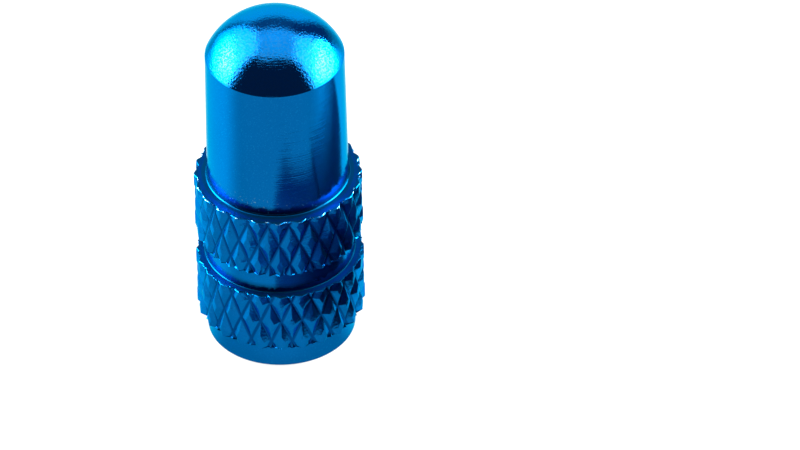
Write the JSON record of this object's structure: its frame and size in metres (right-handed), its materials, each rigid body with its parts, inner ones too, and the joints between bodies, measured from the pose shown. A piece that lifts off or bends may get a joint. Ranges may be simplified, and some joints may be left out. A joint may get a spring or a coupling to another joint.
{
  "type": "tyre valve cap",
  "caption": "Slim round-nosed dust cap for a bicycle tyre valve, turned metal with a knurled skirt and a blind threaded hole.",
  "frame": {"origin": "centre of the mouth's face, where the cap stands on its open end", "axes": "+Z along the cap's axis, from the mouth to the top of the dome"},
  "size_m": [0.008, 0.008, 0.0182],
  "materials": {
    "blue_anodised_aluminium": "bright blue anodised, turned and knurled"
  },
  "bodies": {
    "root": {"valve_cap": "blue_anodised_aluminium"}
  },
  "joints": []
}
